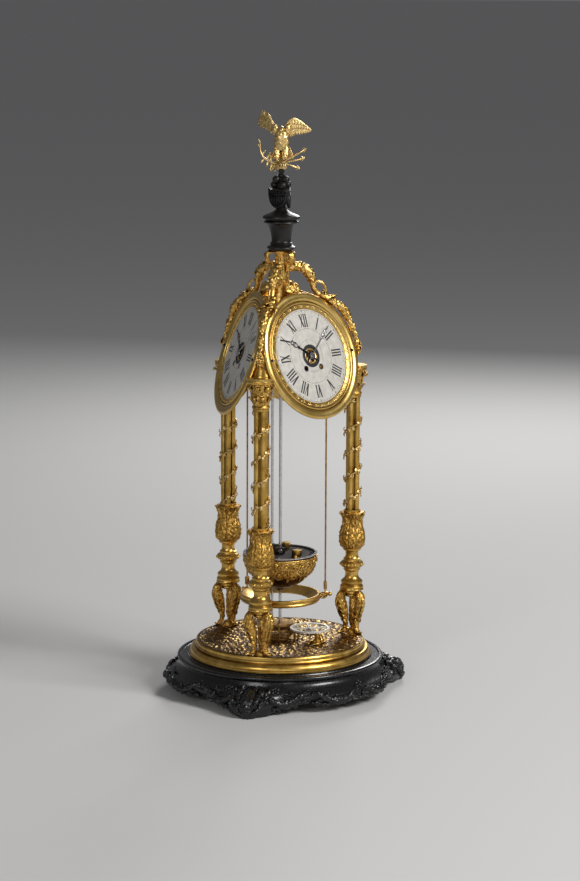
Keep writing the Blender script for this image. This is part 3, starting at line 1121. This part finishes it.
# black finial: turned pedestal, three striped shields, clustered balls; profiles are radius and height
pedestal = [
    (0, 0), (15, 0), (16.6, 0.8), (18, 2), (18.5, 3.1), (18.2, 4.3), (16.6, 5.4), (15, 6.2), (13.8, 7), (14, 7.8),
    (14.7, 8.6), (14.2, 9.5), (12.9, 10.4), (12.5, 11.6), (12.4, 13), (12.6, 15.6), (12.9, 18), (13.8, 23),
    (15.2, 27.6),
    (17, 31.4), (18.6, 33.2), (19.2, 33.9), (21.6, 34.6), (22.5, 35.6), (22.2, 36.8), (20.8, 37.5), (20.2, 38.2),
    (20.8, 38.9), (22.8, 39.6), (23.8, 40.8), (24, 42), (23.7, 43.3), (22, 44.6), (18.6, 46), (14.6, 47.6),
    (10.8, 49.3),
    (8, 51.4), (6.4, 53.4), (5.2, 55), (5, 56), (0, 56),
]
trophy = {
    "foot": -2.4, "thick": 2.4, "halfWide": 14.4, "bow": 2.0, "reach": 8.6, "turn": 40,
    # right half of a shield, from its foot up
    "edge": [(0, 0), (2.6, 0.9), (5, 2), (7.2, 3.6), (9, 5.4), (10.8, 7.6), (12, 10), (13, 13), (13.6, 16),
             (14.2, 20.6), (14.4, 25.5), (12.4, 24.7), (10.4, 23.5), (7, 23.2), (3.4, 23.9), (0, 25.5)],
    "stripes": [-10.4, -7.8, -5.2, -2.6, 0, 2.6, 5.2, 7.8, 10.4], "studs": [-8.8, -4.4, 0, 4.4, 8.8],
    "core": [(0, 0), (5, 0), (6.2, 4), (8.4, 12), (8.4, 20), (10.6, 20.8), (11.4, 22), (10.6, 23), (6, 23.8),
             (6, 28.5), (4.6, 31.5), (3, 32.5), (3, 36.5), (4.2, 38), (4.2, 40.5), (3, 42), (3.8, 43.5), (3.8, 45.5),
             (3, 47.1), (0, 47.1)],
    "balls": [(83, 9.6, 657.1, 5.0), (3, 7.0, 664.1, 5.1)],  # angle, distance out, height, radius
}


def buildPedestal():
    body = turned([(r, clock["stemZ"] + h) for r, h in pedestal], 144)
    settle(body, "pedestal", ebonised, stands=["finial_pedestal"])


def buildTrophy():
    top = clock["pedestalTop"]
    edge = trophy["edge"]
    outline = edge + [(-x, y) for x, y in reversed(edge[1:-1])]
    parts = [cutOut([outline], trophy["thick"], 0.3)]
    parts.append(swept([(x * 0.95, y * 0.96 + 0.6, 1.5) for x, y in outline + outline[:1]], [0.75, 0.75], 1))
    for x in trophy["stripes"]:
        parts.append(swept([(x, 2.2 + abs(x) * 0.62, 1.1), (x, 9, 1.7), (x, 17.4, 1.5)], [0.6, 0.85, 0.8], 1))
    parts.append(swept([(-13.2, 18.2, 1.4), (0, 18.2, 1.8), (13.2, 18.2, 1.4)], [0.75, 0.8, 0.75], 1))
    parts += [ball(1.0, (x, 20.9, 1.6), 5) for x in trophy["studs"]]
    shield = joined(parts)
    for vert in shield.data.vertices:  # the face bows outwards
        vert.co.z += trophy["bow"] * (1 - (vert.co.x / trophy["halfWide"]) ** 2) - 1.0
    stand = shift(0, -trophy["reach"], top + trophy["foot"]) @ turnX(90)
    shields = copied(shield, [turn @ stand for turn in ringOf(3, trophy["turn"])])
    core = turned([(r, top + h) for r, h in trophy["core"]], 48)
    balls = [ball(size, (*polar(r, a + turn - 90), z), 14)
             for a, r, z, size in trophy["balls"] for turn in (0, 120, 240)]
    settle(joined([shields, core] + balls), "trophy", ebonised, stands=["finial_trophy"])


buildPedestal()
buildTrophy()

# eagle: feathered body, layered wings, arrows and a branch in its claws; heights from its perch
eagle = {
    "faces": -60, "sweep": 23.0, "foot": -0.9,
    "plumage": {"size": 2.4, "relief": 0.8, "around": 40, "step": 0.7},
    "wings": [  # side, front edge, back edge
        (1, [(3, 0, 50.5), (7.8, 0, 58.5), (10.2, 0, 62.6), (15.5, 0, 64), (21.9, 0, 62), (29.6, 0, 56.6),
             (38, 0, 49.6)],
         [(7, 0, 41), (12, 0, 41.5), (16, 0, 43.6), (21, 0, 44.4), (26, 0, 44.8), (31, 0, 46), (35, 0, 47.2),
          (38.4, 0, 49.2)]),
        (-1, [(-4, 0, 48.5), (-11.2, 0, 53), (-16, 0, 60.5), (-21, 0, 68), (-26, 0, 71.6), (-31.4, 0, 73.2)],
         [(-13, 0, 44), (-18, 0, 46.6), (-23, 0, 50.4), (-28, 0, 51.6), (-33, 0, 53), (-38.6, 0, 56.4),
          (-37.4, 0, 61), (-35.4, 0, 65), (-33.4, 0, 69.6), (-32, 0, 72.8)]),
    ],
    # rows of feathers: share of the wing that they reach over, distance off its middle, number, width
    "rows": [(1.0, 0.5, 11, 1.25), (0.62, 1.1, 11, 1.3), (0.34, 1.6, 9, 1.5)], "widest": 4.2, "tail": 9,
    "arrows": [((-11, -9.5, 1.4), (33, -10, 27)), ((-9, -9, 6.5), (31, -10, 15.5)), ((-6, -8.4, 13), (24, -8, 3))],
    "branch": [(-4, -4, 9), (-11, -3, 9.6), (-17.7, -3, 12), (-23, -3, 16), (-26.8, -3, 23), (-27.4, -3, 30),
               (-28.4, -3, 38)],
    "leaves": [  # root, tip, width
        ((-14, -3, 11), (-12.6, -4, 20), 2.8), ((-19, -3, 13), (-13, -4.4, 24), 2.6),
        ((-17, -3, 11.6), (-19, -4, 2.6), 2.6), ((-22, -3, 15), (-27, -4, 7.4), 2.4),
        ((-12, -3, 9.6), (-14, -4, -3), 3.0), ((-25, -3, 19), (-19.6, -4, 25.6), 2.4),
        ((-27, -3, 27), (-30.4, -4, 33), 2.0), ((-28, -3, 32), (-29.6, -3.6, 40), 1.6),
        ((-8, -4, 8), (-7, -6, -3.6), 2.8),
    ],
}


def feather(root, tip, width, bow, across, thick):
    root, tip = Vector(root), Vector(tip)
    out = (tip - root).cross(Vector(across)).normalized() * bow
    return leaf([root, root.lerp(tip, 0.35) + out, root.lerp(tip, 0.7) + out, tip],
                [width * 0.55, width, width * 0.95, width * 0.3], across, 1, notch=0.0, cup=0.16, sweep=0.0,
                thick=thick, columns=4, rows=8, rib=0.1)


def buildWing(side, lead, trail):
    lead, trail = smoothLine(lead, 6), smoothLine(trail, 6)
    parts = [swept(lead, [2.4, 2.3, 2.0, 1.7, 1.2, 0.7], 2)]
    for face in (-1, 1):
        for share, off, number, wide in eagle["rows"]:
            for k in range(number):
                t = (k + 0.5) / number
                root = pointOn(lead, min(1, 0.06 + 0.9 * t))
                end = root.lerp(pointOn(trail, t), share)
                gap = (pointOn(trail, t + 0.5 / number) - pointOn(trail, t - 0.5 / number)).length
                width = max(1.4, min(gap * (0.55 + 0.45 * share) * wide * 0.6, eagle["widest"]))
                away = Vector((0, face * (off + 0.12 * (k % 2)), 0))
                across = (end - root).cross(Vector((0, face, 0)))
                parts.append(feather(root + away * 0.6, end + away, width, 0.1, across, 0.4))
    return moved(joined(parts), turnZ(side * eagle["sweep"]))


def buildArrow(tail, head):
    tail, head = Vector(tail), Vector(head)
    along = (head - tail).normalized()
    side = along.cross(Vector((0, 1, 0))).normalized()
    across = along.cross(side)
    parts = [swept([tail, tail.lerp(head, 0.5), head], [1.25, 1.25, 1.25], 1), ball(1.3, head, 5)]
    for s in (-1, 1):
        parts.append(feather(head + along * 2.2, head - along * 3.4 + side * s * 3.2, 1.1, 0, across, 0.8))
        parts.append(feather(tail + along * 5, tail - along * 2 + side * s * 2.6, 1.5, 0, across, 0.7))
    return parts


def buildEagle():
    plumage = eagle["plumage"]
    parts = [
        carved([(0, 1.5, 24), (0, 0.8, 29), (0, 0, 35), (0, -0.8, 41), (0, -0.6, 46.6), (0, 0.4, 51.4)],
               [7.8, 9.8, 10.0, 9.4, 8.4, 4.6], [5.6, 7.4, 8.0, 7.8, 6.8, 4.0], **plumage),
        turned([(0, 0.3), (4, 0.4), (7, 2), (7.6, 5), (6, 7.4), (3, 8.4), (0, 8.6)], 32),
        carved([(0.2, -1, 47), (1.0, -4.8, 51), (1.6, -8.2, 50.4), (2.1, -11, 47.6)], [5.6, 4.8, 4.0, 2.2],
               size=2, relief=0.6, step=0.7),
        swept(smoothLine([(2.0, -10.2, 48.2), (2.4, -13.2, 47.2), (2.8, -15, 44.4), (2.8, -14.6, 42.8)], 4),
              [2.0, 1.6, 1.0, 0.3], 2),
    ]
    for s in (-1, 1):  # brow, shoulder, feathered thigh and claws
        parts.append(ball(0.9, (2.0 + s * 2.4, -9.6, 49.4), 6))
        parts.append(carved([(s * 5, -1, 47), (s * 7.6, -1.4, 51), (s * 8.6, -0.8, 55), (s * 8.4, 0, 58)],
                            [3.6, 4.2, 3.4, 2.0], size=2.4, relief=0.5, step=0.8))
        parts.append(carved([(s * 4.6, 0, 31), (s * 5.6, -1.6, 24), (s * 5.4, -3.6, 17), (s * 4.8, -4.6, 11),
                             (s * 4.4, -5, 7.4)], [4.6, 5.2, 4.6, 3.2, 1.8], [5.0, 5.6, 4.8, 3.2, 1.8], **plumage))
        for toe in (-1, 0, 1):
            claw = [(s * 4.4, -5.4, 9), (s * 4.4 + toe * 2, -8.6, 8.2), (s * 4.6 + toe * 2.8, -9.6, 5),
                    (s * 4.4 + toe * 2.4, -8.2, 3)]
            parts.append(swept(smoothLine(claw, 3), [1.2, 1.1, 0.9, 0.4], 1))
    for k in range(eagle["tail"]):  # tail fan, behind
        s = (k - 4) / 4
        tip = (s * 13.6, 6.4 - abs(s) * 1.4, 11.5 + 2.4 * s * s)
        parts.append(feather((s * 6, 4.5, 30), tip, 3.0, 0.4, (1, 0, 0), 0.7))
    parts += [buildWing(*wing) for wing in eagle["wings"]]
    for tail, head in eagle["arrows"]:
        parts += buildArrow(tail, head)
    parts.append(swept(smoothLine(eagle["branch"], 4), [1.3, 1.3, 1.2, 1.1, 1.0, 0.9, 0.7], 1))
    for root, tip, width in eagle["leaves"]:
        root, tip = Vector(root), Vector(tip)
        across = (tip - root).cross(Vector((0, -1, 0)))
        parts.append(feather(root, root.lerp(tip, 0.86), width * 0.62, 0.8, across, 0.7))
    perch = shift(0, 0, clock["perchZ"] + eagle["foot"])
    settle(joined(parts), "eagle_figure", giltPale, perch @ turnZ(eagle["faces"]), stands=["eagle"])


buildEagle()
print("finial and eagle cast")

# bowl weight: dark bowl with a gilt band, chased all over and dressed with scrolls and leaves; runs are
# degrees round from the middle of a repeat and degrees down from the rim
bowl = {
    "r": 48.0, "z": 180.0, "wall": 3.0, "repeats": 12,
    "foot": [(2.6, -47.6), (2.6, -50.4), (4.6, -50.4), (6.2, -49.4), (6.4, -48.2)],
    "scrolls": [
        ([(0, 33), (4, 30), (8.6, 24), (9.6, 17), (6, 13.4), (3, 16), (4.4, 19.4), (6, 18.4)],
         [0.8, 1.0, 1.2, 1.1, 0.9, 0.7, 0.7, 1.0]),
        ([(9.4, 22), (13, 26), (15, 31), (13.6, 35), (11, 33.6), (11.6, 30.6)], [0.7, 1.0, 1.0, 0.8, 0.6, 0.9]),
        ([(0, 12), (3, 9), (7, 8), (11, 10.4), (12.4, 15), (15, 17)], [0.6, 0.9, 1.0, 1.0, 0.8, 0.9]),
    ],
    "leaves": [((4, 29), (9, 34)), ((9, 23), (14.4, 21)), ((9.4, 15), (14, 12.4)), ((3, 15.6), (0.8, 21)),
               ((12.8, 27), (8.4, 29.4)), ((14, 33), (9.6, 38))],
    "beads": [(20, 0.6, 1.0), (36, 0.5, 0.9)],  # degrees down, distance out, radius
    "lines": [(4.5, 1.1), (7, 0.5), (25.5, 0.35)],  # degrees down, radius
    "lowest": -27, "clearance": 0.5,
}


def onBowl(run, side=1, proud=0.2):
    line = []
    for a, b in run:
        out, down = polar(bowl["r"] + proud, b)
        line.append((*polar(out, side * a - 90), bowl["z"] - down))
    return smoothLine(line, 4)


def meridian(r, angles):
    return [(out, bowl["z"] - down) for out, down in (polar(r, a) for a in angles)]


def buildBowl():
    r, z = bowl["r"], bowl["z"]
    inner = r - bowl["wall"]
    foot = [(x, z + h) for x, h in bowl["foot"]]
    shell = turned(foot + meridian(r, range(82, 1, -4)) + [(r - 0.4, z - 0.4), (inner + 0.4, z - 0.4)]
                   + meridian(inner, range(2, 87, 6)) + [(foot[0][0], z - inner), foot[0]], 128)
    settle(shell, "bowl_shell", darkBronze, body="weight", stands=["weight_bowl"])
    ground = gridOf(360, 40)
    for vert in ground.data.vertices:
        a, t = math.pi * vert.co.x, (vert.co.y + 1) / 2
        b = math.radians(3 + 38 * t)
        ragged = min(1, (1 - t) * (5 + 3 * math.sin(bowl["repeats"] * a)), t * 14)
        spot = Vector((math.cos(b) * math.sin(a), -math.cos(b) * math.cos(a), -math.sin(b)))
        height = 0.75 * scrolled(Vector((a * 40, t * 34, 0)), 12.57) + 0.3 * lobed(spot * r, 3.4)
        vert.co = Vector((0, 0, z)) + spot * (r - 0.5 + (0.45 + 1.9 * height) * max(0, ragged))
    settle(smoothed(welded(ground)), "bowl_chasing", giltChased, body="weight")
    rim = turned([(inner - 0.2, z - 1.2), (inner - 0.2, z), (inner + 0.4, z + 0.5), (r - 0.6, z + 0.5),
                  (r + 0.3, z - 0.1), (r + 0.3, z - 1.1), (r - 0.6, z - 1.2), (inner - 0.2, z - 1.2)], 128)
    settle(rim, "bowl_rim", polishedSteel, body="weight")


def buildBand():
    r, middle = bowl["r"], Vector((0, 0, bowl["z"]))
    parts = []
    for side in (-1, 1):
        parts += [swept(onBowl(run, side), wide, 1) for run, wide in bowl["scrolls"]]
        for start, end in bowl["leaves"]:
            root, tip = onBowl([start], side, 0.5)[0], onBowl([end], side, 0.9)[0]
            lift = (root - middle).normalized() * 0.5
            parts.append(leaf([root, root.lerp(tip, 0.4) + lift, root.lerp(tip, 0.75) + lift, tip],
                              [0.5, 1.6, 1.5, 0.3], lift.cross(tip - root), 2, thick=0.6, columns=4, rows=3))
    upright = {"lobes": 3, "thick": 0.7, "columns": 4, "rows": 4}
    parts.append(leaf(onBowl([(0, 35), (0, 28), (0, 20), (0, 12)], proud=0.8)[::4], [0.8, 2.6, 2.8, 0.5],
                      (-1, 0, 0), **upright))
    parts.append(leaf(onBowl([(0, 34), (0, 38), (0, 42), (0, 46)], proud=0.7)[::4], [1.0, 2.4, 2.0, 0.4], **upright))
    half = 180 / bowl["repeats"]
    parts += [ball(size, onBowl([(half, b)], proud=proud)[0], 5) for b, proud, size in bowl["beads"]]
    band = copied(joined(parts), ringOf(bowl["repeats"]))
    reach = r + bowl["clearance"]
    for vert in band.data.vertices:  # clears the ring when the bowl is at its lowest
        spot = vert.co - middle
        if spot.z < bowl["lowest"] and spot.length > reach:
            vert.co = middle + spot * (reach / spot.length)
    lines = [swept(onBowl([(3 * k, b) for k in range(121)]), [wide, wide], 1) for b, wide in bowl["lines"]]
    settle(joined([band] + lines), "bowl_band", giltCasting, body="weight")
    settle(ball(1.9, (0, 0, 0)), "bowl_knob", giltTurned, turnZ(-20) @ shift(0, -46.5, bowl["z"] + 2), body="weight")


buildBowl()
buildBand()

# lid with a turned edge, and the clamp with screws on it; heights of the clamp's pieces from its underside
clamp = {
    "low": -1.5, "turn": -45, "block": 4.2, "blockHigh": 7.7, "blockPlace": (0, -30, 4.25),
    "arm": [(-15, -3.4), (-12, -4.5), (4, -4.5), (6, -3), (6, 3), (4, 4.5), (-12, 4.5), (-15, 3.4)],
    "armHigh": 6.2, "armMiddle": 3.5, "rodHole": 2.7, "collarHole": 1.9, "collarX": -10.6,
    "collar": [(1.9, 0.4), (4.6, 0.4), (5, 1), (5, 5), (4.4, 5.6), (4.6, 6.4), (5, 7), (5, 11), (4.5, 11.8),
               (1.9, 11.8), (1.9, 0.4)],
    "screw": [(0, 0), (1.5, 0), (1.5, 3), (2.6, 3.2), (2.8, 4), (2.8, 5.4), (2.2, 6), (0, 6)],
    "screwOut": 3.6, "screwHeights": (9.4, 3.6),
    "lid": [(4, 176), (4, 178.4), (20, 178.5), (20.4, 178.7), (38, 178.7), (38.6, 178.5), (43.6, 178.5),
            (44.6, 178), (44.6, 176), (4, 176)],
}


def buildClamp():
    low, x = bowl["z"] + clamp["low"], clamp["collarX"]
    raised, size, out = shift(0, 0, low), clamp["block"], clamp["screwOut"]
    block = cutOut([[(-size, -size), (size, -size), (size, size), (-size, size)]], clamp["blockHigh"], 0.4)
    blocks = copied(moved(block, raised @ shift(*clamp["blockPlace"])), ringOf(3))
    settle(blocks, "weight_blocks", giltTurned, body="weight", stands=["weight_clamp"])
    holes = [circle(clamp["rodHole"], steps=24)[::-1], circle(clamp["collarHole"], x, 0, 24)[::-1]]
    arm = moved(cutOut([clamp["arm"]] + holes, clamp["armHigh"], 0.4), raised @ shift(0, 0, clamp["armMiddle"]))
    collar = moved(turned(clamp["collar"], 48), raised @ shift(x, 0, 0))
    sideways, forwards = clamp["screwHeights"]
    screws = copied(turned(clamp["screw"], 24), [raised @ shift(x - out, 0, sideways) @ turnY(-90),
                                                 raised @ shift(0, -out, forwards) @ turnX(90)])
    turn = turnZ(clamp["turn"])
    settle(joined([arm, collar]), "weight_arm", lidSteel, turn, body="weight")
    settle(screws, "weight_screws", polishedSteel, turn, body="weight")
    settle(turned(clamp["lid"], 128), "weight_cover", lidSteel, body="weight")


buildClamp()
print("weight made")

# catch ring: turned ring, leafy brackets with ball ends, and eyes for the hanging rods
ring = {
    "z": 116.0,
    "profile": [(37, 0), (50.4, 0), (51.4, 0.6), (52, 1.6), (52.4, 3), (52, 4), (51.3, 4.6), (51.3, 5.2), (52, 5.8),
                (52.4, 6.8), (52.3, 8.6), (51.6, 9.5), (49.2, 9.6), (48.4, 9), (39.4, 2.2), (37.6, 1.6), (37, 1.2),
                (37, 0)],
    "stud": [(1, 119), (2.4, 119), (2.6, 121), (1.4, 123), (1.2, 126.4), (0.2, 126.4), (0.2, 119), (1, 119)],
    "eye": [(0.9, -1), (1.9, -1), (2.1, -0.5), (2.1, 0.5), (1.9, 1), (0.9, 1), (0.9, -1)],
    "rodReach": 61.4, "eyeZ": 128.6,
}


def buildRing():
    profile = turned([(r, ring["z"] + h) for r, h in ring["profile"]], 144)
    settle(profile, "ring_turned", giltTurned, stands=["catch_ring"])
    reach = ring["rodReach"]
    bracket = joined([
        swept(smoothLine([(0, -50.5, 118), (0, -55, 118.6), (0, -60, 119.6), (0, -65, 119.6)], 4),
              [2.4, 2.2, 2.4, 2.0], 2),
        leaf([(0, -51.8, 119), (0, -56, 121), (0, -60.6, 121.8), (0, -65, 121.6), (0, -67.4, 119.8)],
             [1.6, 4.2, 4.6, 3.6, 0.8], (-1, 0, 0), 4, cup=0.35),
        leaf([(0, -51.5, 117), (0, -55, 115.4), (0, -60, 115.2), (0, -65, 117)], [1.4, 3.6, 3.8, 0.8], lobes=3,
             cup=0.35),
        ball(2.9, (0, -67.8, 119.8), 10),
        moved(turned(ring["stud"], 24), shift(0, -reach, 0)),
        moved(turned(ring["eye"], 24), shift(0, -reach, ring["eyeZ"]) @ turnY(90)),
    ])
    settle(copied(bracket, [atCorner(n) for n in thirds]), "ring_brackets", giltCasting)


buildRing()


# leafy foot of the balance cock
def buildCock():
    parts = []
    for s in (-1, 1):
        for run, widths, lobes in (
                ([(s * 1, -58, 67), (s * 5, -61, 68.6), (s * 10, -62, 68.4), (s * 13.5, -60, 66.6)],
                 [1.6, 3.8, 3.6, 0.6], 4),
                ([(s * 1, -56, 67), (s * 5, -53, 69), (s * 9.6, -51.4, 68.4), (s * 12.6, -53, 66.4)],
                 [1.4, 3.4, 3.2, 0.6], 3)):
            parts.append(leaf(run, widths, (0, -s, 0), lobes, thick=0.8))
        curl = [(s * 2, -62, 67), (s * 5.4, -65.4, 68), (s * 9, -66.4, 68), (s * 10.8, -64, 67.4),
                (s * 9, -62.6, 67.4)]
        parts.append(swept(smoothLine(curl, 4), [1.2, 1.4, 1.3, 1.1, 1.2], 1))
    parts.append(leaf([(0, -60, 78.6), (0, -64.6, 77), (0, -66.8, 72), (0, -67.4, 67)], [1.4, 3.8, 4.2, 1.0],
                      (-1, 0, 0), 4, cup=0.35, thick=0.9))
    parts.append(leaf([(0, -60, 78.8), (0, -55, 79.4), (0, -50, 79.2), (0, -45, 78.8)], [1.8, 3.2, 2.8, 0.8],
                      lobes=4, thick=0.7))
    settle(joined(parts), "cock_foliage", giltCasting, turnZ(10))


buildCock()
print("ring and cock dressed")
